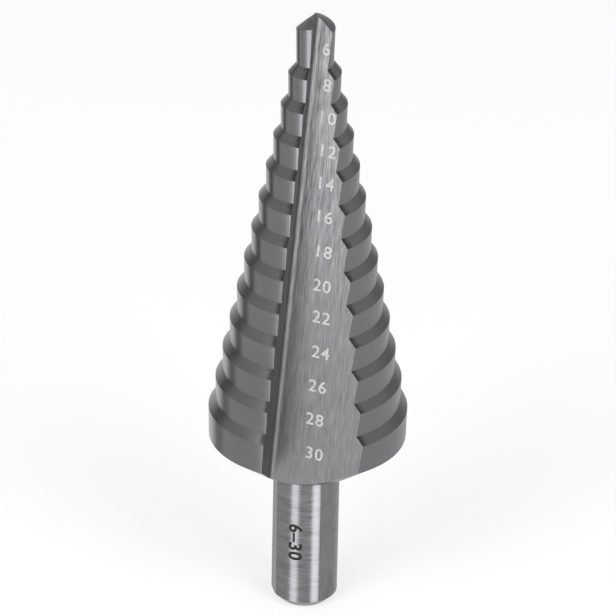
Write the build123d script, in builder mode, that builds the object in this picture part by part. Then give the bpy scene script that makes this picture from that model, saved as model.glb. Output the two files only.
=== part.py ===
"""Step drill for sheet metal: thirteen steps from 6 to 30 mm, two straight flutes, a three-flat shank.

Millimetres, +Z up along the drill's axis, from the middle of the shank's end face to the point.
Bearings are degrees about +Z, from the front (-Y) towards +X. The drill cuts turning that way, so each
cutting edge leads its land, and a flute lies ahead of each edge.
"""
from build123d import *
from math import cos, radians, sin, tan
import os

# Steps
step_count = 13
first_step_diameter = 6.0
diameter_rise = 2.0
step_pitch = 5.0
first_step_length = 7.6  # from the top of the first shoulder to just past the outer corners of the lips
last_step_length = 6.0  # from the rim up to the top of the last shoulder
shoulder_height = 1.25
back_taper = 0.022  # loss of radius for each unit of length down a land

# Relief: lands and shoulders are ground off centre, so that they fall away behind the cutting edges
land_offset = 0.14  # of the axis that the lands are ground about
shoulder_offset = 0.45  # of the axis that the shoulders are ground about
relief_bearing = -22.0  # of both axes from the drill's own, on the side of the cutting edge

# Point: each flank is part of a cone that leans away from its lip, with its tip across the drill's axis
flank_cone_angle = 86.0
flank_lean = 18.5
flank_lean_bearing = 156.0
flank_tip_height = 9.55  # of the cone, above the first shoulder
flank_tip_offset = 3.2  # from the drill's axis
flank_tip_bearing = 125.0

# Flutes
flute_count = 2
rake_bearing = -14.4  # of the face that ends in the cutting edges, outwards from the root
heel_bearing = 68.2  # of the wide face across from it
flute_root_radius = 0.65
flute_root_bearing = -36.6  # in which the root leaves the axis on its way to the shank
flute_lean = 7.47  # of the root from the axis
flute_root_offset = 0.34  # of the root to the side of the axis
flute_root_height = 97.3  # at which the root passes the axis

# Back of the body
back_cone_height = 4.4
back_face_diameter = 18.0

# Shank
shank_diameter = 10.0
shank_length = 24.0
shank_chamfer = 1.3
flat_count = 3
flat_distance = 4.78  # of each flat from the axis
flat_bearing = 43.5

# Worked out from the above
radius_rise = diameter_rise / 2
first_step_radius = first_step_diameter / 2
last_step_radius = first_step_radius + (step_count - 1) * radius_rise
rim_height = shank_length + back_cone_height
first_shoulder_height = rim_height + last_step_length + (step_count - 2) * step_pitch
flank_height = first_shoulder_height + flank_tip_height
shoulder_slope = shoulder_height / radius_rise  # fall of a shoulder for each unit of radius
back_slope = back_cone_height / (last_step_radius - back_face_diameter / 2)
reach = 2 * flank_height  # of cutting shapes, past all that they cut


def bearing(angle):
    """Unit vector level with XY at a bearing."""
    return Vector(sin(radians(angle)), -cos(radians(angle)), 0)


def ground_step(radius, land_top):
    """One step, down to the back of the body: a tapered land under the shoulder cone that ends it."""
    land_radius = radius - land_offset
    shoulder_tip = land_top + (radius - shoulder_offset) * shoulder_slope
    with BuildPart() as step:
        with Locations(bearing(relief_bearing) * land_offset + Vector(0, 0, shank_length)):
            Cone(
                land_radius - (land_top - shank_length) * back_taper,
                land_radius + (shoulder_tip - land_top) * back_taper,
                shoulder_tip - shank_length,
                align=(Align.CENTER, Align.CENTER, Align.MIN),
            )
        with Locations(bearing(relief_bearing) * shoulder_offset + Vector(0, 0, shoulder_tip)):
            Cone(
                reach / shoulder_slope,
                0,
                reach,
                align=(Align.CENTER, Align.CENTER, Align.MAX),
                mode=Mode.INTERSECT,
            )
    return step.part


# Lands: the first step runs up past the flanks, and every other one up to its shoulder
ground_steps = [ground_step(first_step_radius, first_shoulder_height + first_step_length)]
for number in range(1, step_count):
    shoulder_top = first_shoulder_height - (number - 1) * step_pitch
    ground_steps.append(ground_step(first_step_radius + number * radius_rise, shoulder_top - shoulder_height))

parting_bearing = rake_bearing + 25  # runs inside the flute at every height
with BuildPart() as land:
    add(ground_steps)
    split(
        bisect_by=Plane(origin=(0, 0, 0), z_dir=bearing(parting_bearing + 90)),
        keep=Keep.BOTTOM,
    )

# Flutes: the straight groove that a wheel leaves, as a prism along its root
side_bearing = flute_root_bearing + 90
root_start = bearing(side_bearing) * flute_root_offset + Vector(0, 0, flute_root_height)
root_rise = Vector(0, 0, cos(radians(flute_lean))) - bearing(flute_root_bearing) * sin(radians(flute_lean))
with BuildPart() as flute:
    with BuildSketch(Plane(origin=root_start, x_dir=bearing(side_bearing), z_dir=root_rise)) as groove:
        with BuildLine() as faces:
            rake_face = PolarLine((0, 0), reach, rake_bearing - side_bearing)
            wide_face = PolarLine((0, 0), reach, heel_bearing - side_bearing)
            Line(rake_face @ 1, wide_face @ 1)
        make_face()
        fillet(groove.vertices().sort_by_distance((0, 0)).first, radius=flute_root_radius)
    extrude(amount=reach, both=True)

# Point: where the cone of one flank has its tip, and how it leans
flank_tip = bearing(flank_tip_bearing) * flank_tip_offset + Vector(0, 0, flank_height)
flank_axis = bearing(flank_lean_bearing) * sin(radians(flank_lean)) + Vector(0, 0, cos(radians(flank_lean)))
flank_plane = Plane(origin=flank_tip, z_dir=flank_axis)
flank_slope = 1 / tan(radians(flank_cone_angle / 2))

with BuildPart() as step_drill:
    # Body: the same land on each side, inside the cone that its back is turned to
    with PolarLocations(0, flute_count):
        add(land.part)
    with BuildSketch(Plane.XZ):
        with BuildLine():
            Polyline(
                (0, shank_length),
                (back_face_diameter / 2, shank_length),
                (last_step_radius + reach, rim_height + reach * back_slope),
                (0, rim_height + reach * back_slope),
                close=True,
            )
        make_face()
    revolve(axis=Axis.Z, mode=Mode.INTERSECT)

    # Point and flutes
    for turn in range(flute_count):
        with Locations(Location((0, 0, 0), (0, 0, turn * 360 / flute_count)) * Location(flank_plane)):
            Cone(
                reach / flank_slope,
                0,
                reach,
                align=(Align.CENTER, Align.CENTER, Align.MAX),
                mode=Mode.INTERSECT,
            )
    with PolarLocations(0, flute_count):
        add(flute.part, mode=Mode.SUBTRACT)

    # Shank
    Cylinder(shank_diameter / 2, shank_length, align=(Align.CENTER, Align.CENTER, Align.MIN))
    chamfer(step_drill.edges().group_by(Axis.Z)[0], length=shank_chamfer)
    with PolarLocations(flat_distance, flat_count, start_angle=flat_bearing - 90):
        Box(
            shank_diameter,
            shank_diameter,
            shank_length,
            align=(Align.MIN, Align.CENTER, Align.MIN),
            mode=Mode.SUBTRACT,
        )

step_drill.part.label = "step_drill"
os.makedirs("parts", exist_ok=True)
export_step(step_drill.part, "parts/step_drill.step")
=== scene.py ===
"""Looks of the step drill: ground high speed steel, brushed flutes, etched numbers, in a plain soft studio.

Metres, +Z up along the drill from the middle of its shank's end face. Bearings are degrees about +Z, from
the front (-Y) towards +X, as in the part's source.
"""
import bmesh
import bpy
from math import atan2, cos, degrees, pi, radians, sin, tan
from mathutils import Matrix, Vector


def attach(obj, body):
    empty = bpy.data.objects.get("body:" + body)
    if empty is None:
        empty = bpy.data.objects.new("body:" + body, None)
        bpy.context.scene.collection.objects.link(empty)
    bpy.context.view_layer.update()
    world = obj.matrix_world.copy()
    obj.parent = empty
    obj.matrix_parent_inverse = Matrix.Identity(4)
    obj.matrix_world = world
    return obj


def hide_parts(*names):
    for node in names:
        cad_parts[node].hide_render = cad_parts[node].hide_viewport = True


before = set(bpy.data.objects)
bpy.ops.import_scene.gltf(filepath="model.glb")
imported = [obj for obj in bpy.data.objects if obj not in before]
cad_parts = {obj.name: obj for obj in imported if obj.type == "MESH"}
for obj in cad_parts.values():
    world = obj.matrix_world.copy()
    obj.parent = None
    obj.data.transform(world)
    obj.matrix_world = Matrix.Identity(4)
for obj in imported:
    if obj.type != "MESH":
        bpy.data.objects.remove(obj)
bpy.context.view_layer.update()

MM = 0.001
NODE = "step_drill"
UP = Vector((0, 0, 1))

# Shank and back of the body, as the solid has them
SHANK_LENGTH = 24.0 * MM
SHANK_RADIUS = 5.0 * MM
FLAT_BEARINGS = (43.5, 43.5 + 120, 43.5 + 240)
BACK_CONE_FLARE = 6.0 / 4.4  # a flare is the growth of a radius for each unit up the axis

# Lands and shoulders, both ground off centre
LAND_OFFSET = 0.14 * MM
SHOULDER_OFFSET = 0.45 * MM
RELIEF_BEARING = -22.0  # in which both offsets lie
LAND_FLARE = 0.022
SHOULDER_FLARE = -0.8
MARGIN_BEARING = -25.7  # from here to the cutting edge a land is honed

# Flutes: a rake face that ends in the cutting edges, a wide face across from it, and a rounded root
RAKE_BEARING = -14.4
WIDE_BEARING = 68.2
ROOT_BEARING = -36.6  # in which the root leans away from the axis on its way down
ROOT_LEAN = 7.47
ROOT_OFFSET = 0.34 * MM  # of the root to the side of the axis
ROOT_HEIGHT = 97.3 * MM  # at which the root passes the axis
ROOT_RADIUS = 0.65 * MM
PARTING_BEARING = RAKE_BEARING + 25  # inside the flutes, of the upright plane between the drill's halves

# Point: each flank is part of a cone that leans
FLANK_CONE_ANGLE = 86.0
FLANK_LEAN = 18.5
FLANK_LEAN_BEARING = 156.0
FLANK_TIP_OFFSET = 3.2 * MM
FLANK_TIP_BEARING = 125.0
FLANK_TIP_HEIGHT = 98.95 * MM
POINT_BASE = 92.5 * MM  # above it, faces that look up belong to the point

# How the surface that a face belongs to is told from its place and its normal
MERGE = 0.0005 * MM  # vertices nearer than this are one
SNAP = 0.01 * MM  # a face nearer to a surface than this lies in it
ROOT_SLACK = 1.05  # room for the root's facets, which reach a little past its curve
ALIKE = 0.999  # cosine, past which two normals point the same way
FLAT_ALIKE = 0.9999  # the same for the shank's flats, beside which its round turns away slowly
SQUARE = 0.02  # cosine, under which a normal is square to a line
LEVEL = 0.99  # upright part of a normal, past which its face is level
SLOPING = 0.3  # upright part of a normal, past which its face is a shoulder or the back
FLANK_SLOPING = 0.25  # the same for the flanks, which are steeper

# Heights along the root of a flute, from where the root passes the axis
STREAKED_FROM = -22.0 * MM  # above this the flute's streaks are strong
SMOOTH_TO = -50.0 * MM  # and below this they are faint


def bearing(angle):
    """Unit vector level with XY at a bearing."""
    return Vector((sin(radians(angle)), -cos(radians(angle)), 0))


# ---------------------------------------------------------------- surfaces of the solid

HALF_TURN = Matrix.Rotation(pi, 3, "Z")

root_side = bearing(ROOT_BEARING + 90)
root_rise = UP * cos(radians(ROOT_LEAN)) - bearing(ROOT_BEARING) * sin(radians(ROOT_LEAN))
root_point = root_side * ROOT_OFFSET + UP * ROOT_HEIGHT
root_depth = root_rise.cross(root_side)


def across_flute(angle):
    """Unit vector across the flute at a bearing, square to its root."""
    turn = radians(angle - ROOT_BEARING - 90)
    return root_side * cos(turn) + root_depth * sin(turn)


wide_across = across_flute(WIDE_BEARING)
wide_normal = wide_across.cross(root_rise)
rake_across = across_flute(RAKE_BEARING)
rake_normal = root_rise.cross(rake_across)
groove_middle = (wide_across + rake_across).normalized()
half_groove = radians(WIDE_BEARING - RAKE_BEARING) / 2
fillet_axis_point = root_point + groove_middle * ROOT_RADIUS / sin(half_groove)
fillet_reach = (ROOT_RADIUS / tan(half_groove) + SNAP) * ROOT_SLACK


def on_front(vector, turned):
    """A place or direction on the half that is turned, brought to the front one. It also takes one back."""
    return HALF_TURN @ vector if turned else vector


def round_normal(point, axis_point, axis, flare):
    """Outward normal of a round surface whose radius grows by flare for each unit along its axis."""
    arm = point - axis_point
    arm -= axis * arm.dot(axis)
    return (arm.normalized() - axis * flare).normalized()


def flank_normal(point):
    """Outward normal of the front half's flank."""
    axis = bearing(FLANK_LEAN_BEARING) * sin(radians(FLANK_LEAN)) + UP * cos(radians(FLANK_LEAN))
    tip = bearing(FLANK_TIP_BEARING) * FLANK_TIP_OFFSET + UP * FLANK_TIP_HEIGHT
    return round_normal(point, tip, axis, -tan(radians(FLANK_CONE_ANGLE / 2)))


def flute_surface(centre, normal):
    """Name of the surface of the front flute that a face belongs to, or None."""
    arm = centre - root_point
    if abs(arm.dot(wide_normal)) < SNAP and normal.dot(wide_normal) > ALIKE:
        return "wide"
    if abs(arm.dot(rake_normal)) < SNAP and normal.dot(rake_normal) > ALIKE:
        return "rake"
    from_root = (arm - root_rise * arm.dot(root_rise)).length
    square_to_root = abs(normal.dot(root_rise)) < SQUARE
    if from_root < fillet_reach and square_to_root and centre.z > SHANK_LENGTH:
        return "root"
    return None


def body_surface(centre, normal):
    """Name of the surface of the front half's steps or of the body's back that a face belongs to."""
    if normal.z > SLOPING:
        return "shoulder"
    if normal.z < -SLOPING:
        return "back_cone"
    beside_edge = centre.dot(bearing(MARGIN_BEARING + 90)) > 0 and centre.y < 0
    return "margin" if beside_edge else "land"


def shank_surface(normal):
    """Name of the surface of the shank, or of the level back round it, that a face belongs to."""
    if abs(normal.z) > LEVEL:
        return "end"
    if normal.z < -SLOPING:
        return "chamfer"
    if any(normal.dot(bearing(angle)) > FLAT_ALIKE for angle in FLAT_BEARINGS):
        return "flat"
    return "shank"


def surface_of(centre, normal):
    """Name of the surface that a face belongs to, and whether it is on the half that is turned."""
    for turned in (False, True):
        surface = flute_surface(on_front(centre, turned), on_front(normal, turned))
        if surface:
            return surface, turned
    if centre.z > POINT_BASE and normal.z > FLANK_SLOPING:
        gap = (normal - flank_normal(centre)).length
        gap_when_turned = (on_front(normal, True) - flank_normal(on_front(centre, True))).length
        return "flank", gap_when_turned < gap
    if centre.z > SHANK_LENGTH + SNAP:
        turned = centre.dot(bearing(PARTING_BEARING + 90)) > 0
        return body_surface(on_front(centre, turned), normal), turned
    return shank_surface(normal), False


def true_normal(surface, turned, point, face_normal):
    """Normal of the exact surface at a point of a face, so that facets don't show in the steel."""
    local = on_front(point, turned)
    relief = bearing(RELIEF_BEARING)
    if surface in ("land", "margin"):
        return on_front(round_normal(local, relief * LAND_OFFSET, UP, LAND_FLARE), turned)
    if surface == "shoulder":
        return on_front(round_normal(local, relief * SHOULDER_OFFSET, UP, SHOULDER_FLARE), turned)
    if surface == "flank":
        return on_front(flank_normal(local), turned)
    if surface == "root":
        return on_front(-round_normal(local, fillet_axis_point, root_rise, 0), turned)
    if surface == "back_cone":
        return round_normal(point, Vector(), UP, BACK_CONE_FLARE)
    if surface == "chamfer":
        return round_normal(point, Vector(), UP, 1)
    if surface == "shank":
        return round_normal(point, Vector(), UP, 0)
    return face_normal


def to_flute(point):
    """Distance in millimetres from the nearer flute, for a point of the front half."""
    behind_edge = -(point - root_point).dot(rake_normal)
    before_heel = -(on_front(point, True) - root_point).dot(wide_normal)
    return max(0, min(behind_edge, before_heel)) / MM


def lay(surface, turned, point, centre):
    """Place on the surface of a face, in millimetres: along its grinding marks, then across them."""
    if surface in ("wide", "rake", "root"):
        arm = on_front(point, turned) - root_point
        return arm.dot(root_rise) / MM, (arm.dot(wide_across) - arm.dot(rake_across)) / MM
    if surface == "flat":
        side = bearing(degrees(atan2(centre.x, -centre.y)) + 90)
        return point.z / MM, point.dot(side) / MM
    if surface == "end":
        return point.x / MM, point.y / MM
    middle = atan2(centre.x, -centre.y)
    angle = atan2(point.x, -point.y)
    if angle - middle > pi:
        angle -= 2 * pi
    if middle - angle > pi:
        angle += 2 * pi
    return angle * centre.xy.length / MM, point.z / MM


# ---------------------------------------------------------------- materials

def linear(code):
    """Linear colour of an sRGB hex value."""
    channels = [int(code[i:i + 2], 16) / 255 for i in (1, 3, 5)]
    return [c / 12.92 if c <= 0.04045 else ((c + 0.055) / 1.055) ** 2.4 for c in channels] + [1.0]


def add(tree, kind, links=(), values=(), **settings):
    """Adds a node with its settings, its sockets' values and the links into it."""
    node = tree.nodes.new(kind)
    for name, value in settings.items():
        setattr(node, name, value)
    for socket, value in dict(values).items():
        node.inputs[socket].default_value = value
    for socket, source in dict(links).items():
        tree.links.new(source, node.inputs[socket])
    return node


def blank(name):
    """A material with no nodes, and its tree."""
    material = bpy.data.materials.new(name)
    material.use_nodes = True
    material.node_tree.nodes.clear()
    return material, material.node_tree


NOISE_LOW = 0.3  # noise under this counts as its lowest
NOISE_MIDDLE = 0.5
NOISE_HIGH = 0.7  # and over this as its highest
BANDS_ALONG = 0.4  # soft bands for each mark, along the lay
BANDS_ACROSS = 0.3  # and across it
BUMP_STRENGTH = 0.5
ACROSS_LAY = 0.25  # a quarter turn, for highlights that spread across the marks


def ground_steel(
    name, shades, mark_width, mark_length, roughness, anisotropy, depth,
    painted_shade_reach=0.0, fineness=1.0, smoothed=1.0,
):
    """Steel with fine parallel marks along its lay. Widths, lengths, depths and reaches are in millimetres.

    The real marks are about 0.02 mm wide, too fine to show, so they are drawn 0.1 mm wide or more.
    Fineness is the weight of the marks against the soft bands, and smoothed the share of their contrast
    that is left towards the rim.
    """
    material, tree = blank(name)
    coords = add(tree, "ShaderNodeUVMap", uv_map="lay")
    fine = add(
        tree, "ShaderNodeMapping", {"Vector": coords.outputs["UV"]},
        {"Scale": (1 / mark_length, 1 / mark_width, 1)},
    )
    marks = add(
        tree, "ShaderNodeTexNoise", {"Vector": fine.outputs["Vector"]},
        {"Scale": 1.0, "Detail": 3.0, "Roughness": 0.6}, noise_dimensions="2D",
    )
    coarse = add(
        tree, "ShaderNodeMapping", {"Vector": coords.outputs["UV"]},
        {"Scale": (BANDS_ALONG / mark_length, BANDS_ACROSS / mark_width, 1)},
    )
    bands = add(
        tree, "ShaderNodeTexNoise", {"Vector": coarse.outputs["Vector"]},
        {"Scale": 1.0, "Detail": 2.0, "Roughness": 0.5}, noise_dimensions="2D",
    )
    both = add(
        tree, "ShaderNodeMath", {0: marks.outputs["Fac"], 2: bands.outputs["Fac"]},
        {1: fineness}, operation="MULTIPLY_ADD",
    )
    spread = add(
        tree, "ShaderNodeMapRange", {"Value": both.outputs["Value"]},
        {
            "From Min": NOISE_LOW * (fineness + 1),
            "From Max": NOISE_HIGH * (fineness + 1),
            "To Min": 0.0,
            "To Max": 1.0,
        },
    )
    streaks = spread.outputs["Result"]
    if smoothed < 1:
        streaks = smoothed_to_rim(tree, coords.outputs["UV"], streaks, smoothed)
    tone = add(tree, "ShaderNodeValToRGB", {"Fac": streaks})
    tone.color_ramp.elements[0].color = linear(shades[0])
    tone.color_ramp.elements[1].color = linear(shades[1])
    colour = tone.outputs["Color"]
    # Painted shade near the flutes, where a reach is given
    if painted_shade_reach:
        colour = sooted(tree, colour, painted_shade_reach)
    rough = add(
        tree, "ShaderNodeMapRange", {"Value": streaks},
        {"To Min": roughness[0], "To Max": roughness[1]},
    )
    bump = add(
        tree, "ShaderNodeBump", {"Height": marks.outputs["Fac"]},
        {"Strength": BUMP_STRENGTH, "Distance": depth * MM},
    )
    along = add(tree, "ShaderNodeTangent", direction_type="UV_MAP", uv_map="lay")
    steel = add(
        tree, "ShaderNodeBsdfPrincipled",
        {
            "Base Color": colour,
            "Roughness": rough.outputs["Result"],
            "Normal": bump.outputs["Normal"],
            "Tangent": along.outputs["Tangent"],
        },
        {"Metallic": 1.0, "Anisotropic": anisotropy, "Anisotropic Rotation": ACROSS_LAY},
    )
    add(tree, "ShaderNodeOutputMaterial", {"Surface": steel.outputs["BSDF"]})
    return material


def smoothed_to_rim(tree, place, streaks, share):
    """Streaks with all their contrast near the point, and a share of it near the rim."""
    along = add(tree, "ShaderNodeSeparateXYZ", {"Vector": place})
    left = add(
        tree, "ShaderNodeMapRange", {"Value": along.outputs["X"]},
        {"From Min": SMOOTH_TO / MM, "From Max": STREAKED_FROM / MM, "To Min": share, "To Max": 1.0},
    )
    mixed = add(tree, "ShaderNodeMix", {0: left.outputs["Result"], 3: streaks}, {2: NOISE_MIDDLE})
    return mixed.outputs[0]


# Painted shade: the shoulders' colour darkens in blotches near the flutes, for the shade in the corners
# beside the flutes' edges
PAINTED_SHADE = "#2b2b2c"
PAINTED_SHADE_COVER = 0.75  # share of the steel's own colour that the painted shade hides at the flute
BLOTCH_SIZE = 0.6 * MM


def sooted(tree, colour, reach):
    """Colour darkened unevenly within reach of a flute: painted shade, for the corners where the shoulders
    meet the flutes.
    """
    gap = add(tree, "ShaderNodeAttribute", attribute_name="to_flute")
    coords = add(tree, "ShaderNodeTexCoord")
    blotches = add(
        tree, "ShaderNodeTexNoise", {"Vector": coords.outputs["Object"]},
        {"Scale": 1 / BLOTCH_SIZE, "Detail": 3.0, "Roughness": 0.6},
    )
    ragged = add(
        tree, "ShaderNodeMath", {0: blotches.outputs["Fac"], 2: gap.outputs["Fac"]},
        {1: reach}, operation="MULTIPLY_ADD",
    )
    cover = add(
        tree, "ShaderNodeMapRange", {"Value": ragged.outputs["Value"]},
        {
            "From Min": NOISE_MIDDLE * reach,
            "From Max": (NOISE_MIDDLE + 1) * reach,
            "To Min": PAINTED_SHADE_COVER,
            "To Max": 0.0,
        },
        interpolation_type="SMOOTHSTEP",
    )
    mixed = add(
        tree, "ShaderNodeMix", {0: cover.outputs["Result"], 6: colour}, {7: linear(PAINTED_SHADE)},
        data_type="RGBA",
    )
    return mixed.outputs[2]


MOTTLE_SIZE = 0.35 * MM
MOTTLE_FULL = 0.6  # noise over this leaves the mark its lighter shade


def laser_mark(name, shades, roughness):
    """A mark burnt or frosted on the steel, with a faint mottle where it is thin."""
    material, tree = blank(name)
    coords = add(tree, "ShaderNodeTexCoord")
    mottle = add(
        tree, "ShaderNodeTexNoise", {"Vector": coords.outputs["Object"]},
        {"Scale": 1 / MOTTLE_SIZE, "Detail": 3.0},
    )
    tone = add(tree, "ShaderNodeValToRGB", {"Fac": mottle.outputs["Fac"]})
    tone.color_ramp.elements[0].position = NOISE_LOW
    tone.color_ramp.elements[0].color = linear(shades[0])
    tone.color_ramp.elements[1].position = MOTTLE_FULL
    tone.color_ramp.elements[1].color = linear(shades[1])
    mark = add(
        tree, "ShaderNodeBsdfPrincipled", {"Base Color": tone.outputs["Color"]},
        {"Roughness": roughness, "Metallic": 0.0},
    )
    add(tree, "ShaderNodeOutputMaterial", {"Surface": mark.outputs["BSDF"]})
    return material


# High speed steel, ground round the lands: fine rings that spread each highlight up and down
land_steel = ground_steel(
    "hss_ground_land", ("#8f9092", "#969799"), mark_width=0.12, mark_length=6.0,
    roughness=(0.23, 0.27), anisotropy=0.6, depth=0.0005,
)
# Beside the cutting edge a land is honed smoother, and catches the light
margin_steel = ground_steel(
    "hss_honed_margin", ("#808183", "#898a8c"), mark_width=0.12, mark_length=6.0,
    roughness=(0.14, 0.18), anisotropy=0.5, depth=0.0005,
)
# The shoulders are form ground by the same wheel and stay a little rougher; near the flutes they are
# darkened with painted shade
shoulder_steel = ground_steel(
    "hss_ground_shoulder", ("#868789", "#8f9092"), mark_width=0.10, mark_length=5.0,
    roughness=(0.28, 0.34), anisotropy=0.3, depth=0.0005, painted_shade_reach=1.1,
)
# The flutes are ground lengthwise by a coarse wheel: long streaks of uneven brightness
flute_steel = ground_steel(
    "hss_brushed_flute", ("#4a4b4c", "#aaabad"), mark_width=0.15, mark_length=3.0,
    roughness=(0.42, 0.56), anisotropy=0.4, depth=0.003, fineness=2.8, smoothed=0.45,
)
# Their rake faces are ground finer, to a keen edge: dark and quieter
rake_steel = ground_steel(
    "hss_ground_rake", ("#5e5f60", "#868789"), mark_width=0.13, mark_length=2.6,
    roughness=(0.26, 0.36), anisotropy=0.4, depth=0.001,
)
# The point is ground by a fine wheel: an even, slightly dull grey
point_steel = ground_steel(
    "hss_ground_point", ("#7a7b7d", "#8e8f91"), mark_width=0.10, mark_length=3.0,
    roughness=(0.30, 0.36), anisotropy=0.3, depth=0.002,
)
# The shank is ground bright and handled smooth: short rings, and one sharp line of light
shank_steel = ground_steel(
    "hss_bright_shank", ("#86878a", "#a6a7a9"), mark_width=0.30, mark_length=2.6,
    roughness=(0.20, 0.30), anisotropy=0.3, depth=0.0008,
)
# Its flats are milled lengthwise: a duller sheen that turns light or dark all at once
flat_steel = ground_steel(
    "hss_milled_flat", ("#8a8b8d", "#a6a7a9"), mark_width=0.20, mark_length=3.0,
    roughness=(0.30, 0.40), anisotropy=0.4, depth=0.002,
)
# Laser etching frosts the steel: matt and almost white
etched = laser_mark("hss_laser_frosted", ("#a9aaab", "#cbcccd"), roughness=0.7)
# A slower laser burns the steel black: matt, with hardly a shine
burnt = laser_mark("hss_laser_blackened", ("#0c0c0c", "#161617"), roughness=0.6)

FINISH = {
    "land": land_steel,
    "margin": margin_steel,
    "shoulder": shoulder_steel,
    "back_cone": land_steel,
    "wide": flute_steel,
    "rake": rake_steel,
    "root": flute_steel,
    "flank": point_steel,
    "shank": shank_steel,
    "chamfer": shank_steel,
    "end": shank_steel,
    "flat": flat_steel,
}


# ---------------------------------------------------------------- the drill

def steel_piece(name, mesh):
    """A piece of the drill, which rides on its only body."""
    piece = bpy.data.objects.new(name, mesh)
    bpy.context.scene.collection.objects.link(piece)
    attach(piece, "root")
    return piece


def dressed_drill():
    """The solid's own shape, merged, with exact normals, the lay of its grinding marks and its finishes."""
    bm = bmesh.new()
    bm.from_mesh(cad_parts[NODE].data)
    bmesh.ops.remove_doubles(bm, verts=bm.verts, dist=MERGE)
    bmesh.ops.bisect_plane(
        bm, geom=bm.verts[:] + bm.edges[:] + bm.faces[:], dist=MERGE,
        plane_co=(0, 0, 0), plane_no=bearing(MARGIN_BEARING + 90),
    )
    bm.normal_update()
    uv = bm.loops.layers.uv.new("lay")
    gap = bm.loops.layers.float.new("to_flute")
    finishes = list(dict.fromkeys(FINISH.values()))
    normals = []
    for face in bm.faces:
        centre = face.calc_center_median()
        surface, turned = surface_of(centre, face.normal)
        face.material_index = finishes.index(FINISH[surface])
        face.smooth = True
        for loop in face.loops:
            point = loop.vert.co
            loop[uv].uv = lay(surface, turned, point, centre)
            loop[gap] = to_flute(on_front(point, turned))
            normals.append(true_normal(surface, turned, point, face.normal))
    mesh = bpy.data.meshes.new("drill")
    bm.to_mesh(mesh)
    bm.free()
    for finish in finishes:
        mesh.materials.append(finish)
    mesh.normals_split_custom_set(normals)
    piece = steel_piece("drill", mesh)
    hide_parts(NODE)


# ---------------------------------------------------------------- marks

MARK_LIFT = 0.006 * MM  # of the middle of a mark over the steel
MARK_THICKNESS = 0.008 * MM
CURVE_STEPS = 8  # in each curve of a digit


def words_mesh(words, size, spacing, weight):
    """Thin closed mesh of a line of characters, centred, with its face up. Weight widens each stroke."""
    curve = bpy.data.curves.new("words", "FONT")
    curve.body = words
    curve.size = size
    curve.space_character = spacing
    curve.offset = weight
    curve.align_x = "CENTER"
    curve.align_y = "CENTER"
    curve.extrude = MARK_THICKNESS / 2
    curve.resolution_u = CURVE_STEPS
    carrier = bpy.data.objects.new("words", curve)
    bpy.context.scene.collection.objects.link(carrier)
    bpy.context.view_layer.update()
    mesh = bpy.data.meshes.new_from_object(carrier)
    bpy.data.objects.remove(carrier)
    bpy.data.curves.remove(curve)
    bm = bmesh.new()
    bm.from_mesh(mesh)
    bmesh.ops.remove_doubles(bm, verts=bm.verts, dist=MERGE)
    bmesh.ops.recalc_face_normals(bm, faces=bm.faces)
    bm.to_mesh(mesh)
    bm.free()
    lowest, highest = [Vector([end(v.co[i] for v in mesh.vertices) for i in range(3)]) for end in (min, max)]
    mesh.transform(Matrix.Translation(-(lowest + highest) / 2))
    return mesh


NUMBER_TOP = 92.27 * MM  # height of the first number
NUMBER_PITCH = 5.176 * MM  # in height, from one number to the next
NUMBER_OUT = 2.78 * MM  # from the root of the flute to the first number
NUMBER_DRIFT = 0.316 * MM  # further out for each number down
NUMBER_SIZE = 2.65 * MM
NUMBER_SPACING = 1.15
NUMBER_WEIGHT = 0.035 * MM

# The diameter of each step, with how far its number stands from its even place, out from the root and up
# along it, in millimetres: the first ones move in, as their steps are slim, and the others stray a little
STRAYS = {
    6: (-0.92, -0.10),
    8: (-0.54, -0.30),
    10: (-0.15, 0.05),
    12: (0.10, 0.20),
    14: (0.00, 0.40),
    16: (0.00, 0.55),
    18: (0.15, 0.40),
    20: (0.00, 0.30),
    22: (0.10, 0.60),
    24: (0.25, 0.35),
    26: (0.00, 0.15),
    28: (-0.20, 0.10),
    30: (0.00, -0.10),
}


def step_number(index, diameter, stray_out, stray_up):
    """Number of one step, etched in the wide face with its foot towards the shank."""
    up = (NUMBER_TOP - index * NUMBER_PITCH - root_point.z) / root_rise.z + stray_up * MM
    out = NUMBER_OUT + index * NUMBER_DRIFT + stray_out * MM
    place = Matrix((wide_across, root_rise, wide_normal)).transposed().to_4x4()
    place.translation = root_point + root_rise * up + wide_across * out + wide_normal * MARK_LIFT
    mesh = words_mesh(str(diameter), NUMBER_SIZE, NUMBER_SPACING, NUMBER_WEIGHT)
    mesh.transform(place)
    mesh.materials.append(etched)
    steel_piece(f"number_{diameter}", mesh)


RANGE_BEARING = -17.0  # of the middle of the numerals
RANGE_HEIGHT = 11.7 * MM  # and its height
RANGE_SIZE = 2.9 * MM
RANGE_SPACING = 1.1
RANGE_WEIGHT = 0.08 * MM


def size_range():
    """Plain numbers of the smallest and largest step, wrapped on the shank and read from its side."""
    mesh = words_mesh("6\u201330", RANGE_SIZE, RANGE_SPACING, RANGE_WEIGHT)
    for vertex in mesh.vertices:
        turn = RANGE_BEARING + degrees(vertex.co.y / SHANK_RADIUS)
        reach = SHANK_RADIUS + MARK_LIFT + vertex.co.z
        vertex.co = bearing(turn) * reach + UP * (RANGE_HEIGHT - vertex.co.x)
    mesh.materials.append(burnt)
    steel_piece("size_range", mesh)


dressed_drill()
for index, (diameter, stray) in enumerate(STRAYS.items()):
    step_number(index, diameter, *stray)
size_range()


# ---------------------------------------------------------------- studio
#
# Cards close in the drill on all sides, and are what its steel mirrors. Only reflections see them. The
# floor and the lamps are hidden from reflections: the lamps light what is matt, and throw the shadow.

WHITE = (1, 1, 1, 1)
CARD_STEPS = 12
CARD_SIDES = 48
FLOOR_SIDES = 64


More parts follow.
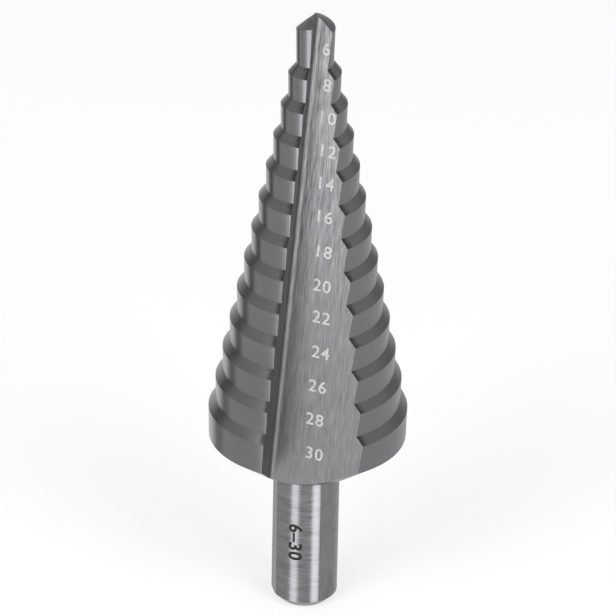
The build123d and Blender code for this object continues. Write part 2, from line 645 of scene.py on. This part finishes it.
def glow(name, level):
    """Even white light of a level, in which 1 is white."""
    material, tree = blank(name)
    light = add(tree, "ShaderNodeEmission", values={"Color": WHITE, "Strength": level})
    add(tree, "ShaderNodeOutputMaterial", {"Surface": light.outputs["Emission"]})
    return material


def staged(name, bm, material):
    """A piece of the studio, not of the drill, made from a bmesh that is then freed."""
    mesh = bpy.data.meshes.new(name)
    bm.to_mesh(mesh)
    bm.free()
    mesh.materials.append(material)
    piece = bpy.data.objects.new(name, mesh)
    bpy.context.scene.collection.objects.link(piece)
    return piece


def only_mirrored(piece):
    """Hides a piece from everything but the steel's reflections."""
    piece.visible_camera = False
    piece.visible_diffuse = False
    piece.visible_shadow = False
    piece.visible_transmission = False


def card(name, first, last, level, low, high, distance):
    """Upright card round the drill between two bearings and two heights."""
    bm = bmesh.new()
    low_end = bm.verts.new(bearing(first) * distance + UP * low)
    high_end = bm.verts.new(bearing(first) * distance + UP * high)
    edge = bm.edges.new((low_end, high_end))
    bmesh.ops.spin(
        bm, geom=[low_end, high_end, edge], cent=(0, 0, 0), axis=(0, 0, 1),
        angle=radians(last - first), steps=CARD_STEPS,
    )
    only_mirrored(staged(name, bm, glow(name, level)))


def level_card(name, level, height, radius):
    """Round card level with the floor, over or under the drill."""
    bm = bmesh.new()
    bmesh.ops.create_circle(bm, cap_ends=True, radius=radius, segments=CARD_SIDES)
    bmesh.ops.translate(bm, verts=bm.verts, vec=UP * height)
    only_mirrored(staged(name, bm, glow(name, level)))


def seen(tree):
    """1 where the camera, a mirror or a glass looks, and 0 where a surface gathers its light."""
    path = add(tree, "ShaderNodeLightPath")
    direct = add(
        tree, "ShaderNodeMath",
        {0: path.outputs["Is Camera Ray"], 1: path.outputs["Is Glossy Ray"]}, operation="MAXIMUM",
    )
    shown = add(
        tree, "ShaderNodeMath",
        {0: direct.outputs["Value"], 1: path.outputs["Is Transmission Ray"]}, operation="MAXIMUM",
    )
    return shown.outputs["Value"]


FLOOR_RADIUS = 4.0
FLOOR_GREY = (0.30, 0.30, 0.30, 1)  # linear: dark enough for a faint shadow
FLOOR_LIFT = 0.66  # what is seen of it is lifted to near white
SKY_LIGHT = 0.55  # level of the air where a surface gathers it
SKY_SEEN = 1.0  # and where it is seen


def floor():
    """Pale paper under the drill, which keeps its shadow."""
    bm = bmesh.new()
    bmesh.ops.create_circle(bm, cap_ends=True, radius=FLOOR_RADIUS, segments=FLOOR_SIDES)
    material, tree = blank("floor_paper")
    matt = add(tree, "ShaderNodeBsdfDiffuse", values={"Color": FLOOR_GREY})
    lift = add(tree, "ShaderNodeMath", {0: seen(tree)}, {1: FLOOR_LIFT}, operation="MULTIPLY")
    light = add(tree, "ShaderNodeEmission", {"Strength": lift.outputs["Value"]}, {"Color": WHITE})
    both = add(tree, "ShaderNodeAddShader", {0: matt.outputs["BSDF"], 1: light.outputs["Emission"]})
    add(tree, "ShaderNodeOutputMaterial", {"Surface": both.outputs["Shader"]})
    piece = staged("floor", bm, material)
    piece.visible_glossy = False


def sky():
    """Even white air all round, which gives less light than it shows."""
    world = bpy.data.worlds.new("studio")
    bpy.context.scene.world = world
    world.use_nodes = True
    tree = world.node_tree
    tree.nodes.clear()
    level = add(tree, "ShaderNodeMapRange", {"Value": seen(tree)}, {"To Min": SKY_LIGHT, "To Max": SKY_SEEN})
    air = add(tree, "ShaderNodeBackground", {"Strength": level.outputs["Result"]}, {"Color": WHITE})
    add(tree, "ShaderNodeOutputWorld", {"Surface": air.outputs["Background"]})


def looking(aim, angle, rise, distance):
    """Place at a bearing, a rise in degrees and a distance from an aim, turned to look at it."""
    out = bearing(angle) * cos(radians(rise)) + UP * sin(radians(rise))
    place = aim + out * distance
    return Matrix.Translation(place) @ (place - aim).to_track_quat("Z", "Y").to_matrix().to_4x4()


CAMERA_AIM = 50.312 * MM  # height of the place on the axis that it looks at
CAMERA_RISE = 27.4445  # degrees
CAMERA_ROLL = 1.2114  # degrees
CAMERA_DISTANCE = 776.736 * MM
CAMERA_LENS = 305.98  # in millimetres, as is its sensor
CAMERA_SENSOR = 36.0
CAMERA_SHIFT = (-0.00344, -0.01115)  # share of the frame's width


def camera():
    """Long lens that looks down on the drill's front."""
    data = bpy.data.cameras.new("camera")
    data.lens = CAMERA_LENS
    data.sensor_width = CAMERA_SENSOR
    data.shift_x, data.shift_y = CAMERA_SHIFT
    piece = bpy.data.objects.new("camera", data)
    roll = Matrix.Rotation(radians(CAMERA_ROLL), 4, "Z")
    piece.matrix_world = looking(UP * CAMERA_AIM, 0, CAMERA_RISE, CAMERA_DISTANCE) @ roll
    bpy.context.scene.collection.objects.link(piece)
    bpy.context.scene.camera = piece


LAMP_AIM = 50.0 * MM  # height, near the drill's middle
LAMP_DISTANCE = 1.0
LAMP_WIDTH = 0.5
LAMP_HEIGHT = 0.6


def softbox(name, angle, rise, power):
    """Soft lamp that looks at the middle of the drill from a bearing, at a rise in degrees."""
    data = bpy.data.lights.new(name, "AREA")
    data.shape = "RECTANGLE"
    data.size = LAMP_WIDTH
    data.size_y = LAMP_HEIGHT
    data.energy = power
    piece = bpy.data.objects.new(name, data)
    piece.matrix_world = looking(UP * LAMP_AIM, angle, rise, LAMP_DISTANCE)
    bpy.context.scene.collection.objects.link(piece)
    piece.visible_glossy = False


# Heights where cards meet, in metres
LOW = -0.45
FRONT_LOW = -0.14
MIDDLE = 0.02
HIGH = 0.45

# Bearings where cards meet
FRONT = 24
CORNER = 50
SIDE_RIGHT = 112
SIDE_LEFT = -140
BACK = 180

CARDS = (
    # name, first and last bearing, level, low and high end, distance
    ("gap", -FRONT, FRONT, 0.56, LOW, FRONT_LOW, 0.5),
    ("front", -FRONT, FRONT, 1.6, FRONT_LOW, 0.08, 0.52),
    ("diffuser_left", -CORNER, -25, 2.1, LOW, MIDDLE, 0.5),
    ("diffuser_right", FRONT, CORNER, 2.5, LOW, MIDDLE, 0.5),
    ("side_left", SIDE_LEFT, -51, 0.56, LOW, MIDDLE, 0.5),
    ("side_right", CORNER, SIDE_RIGHT, 0.6, LOW, MIDDLE, 0.5),
    ("dark_left", -132, -114, 0.12, -0.23, 0.25, 0.45),
    ("dark_right", 106, 150, 0.28, MIDDLE, 0.2, 0.5),
    ("back_left", -BACK, SIDE_LEFT, 0.85, LOW, MIDDLE, 0.5),
    ("back_right", SIDE_RIGHT, BACK, 0.6, LOW, MIDDLE, 0.5),
    ("above_front", -BACK, BACK, 0.46, MIDDLE, HIGH, 0.55),
    ("bounce", -58, 40, 3.6, 0.055, 0.105, 0.12),
)

floor()
sky()
camera()
for card_size in CARDS:
    card(*card_size)
level_card("above", 0.42, HIGH, 0.55)
level_card("below", 0.7, LOW, 0.56)
softbox("softbox_left", -40, 35, 6.5)
softbox("softbox_right", 40, 40, 5.5)
bpy.context.scene.view_settings.view_transform = "Standard"
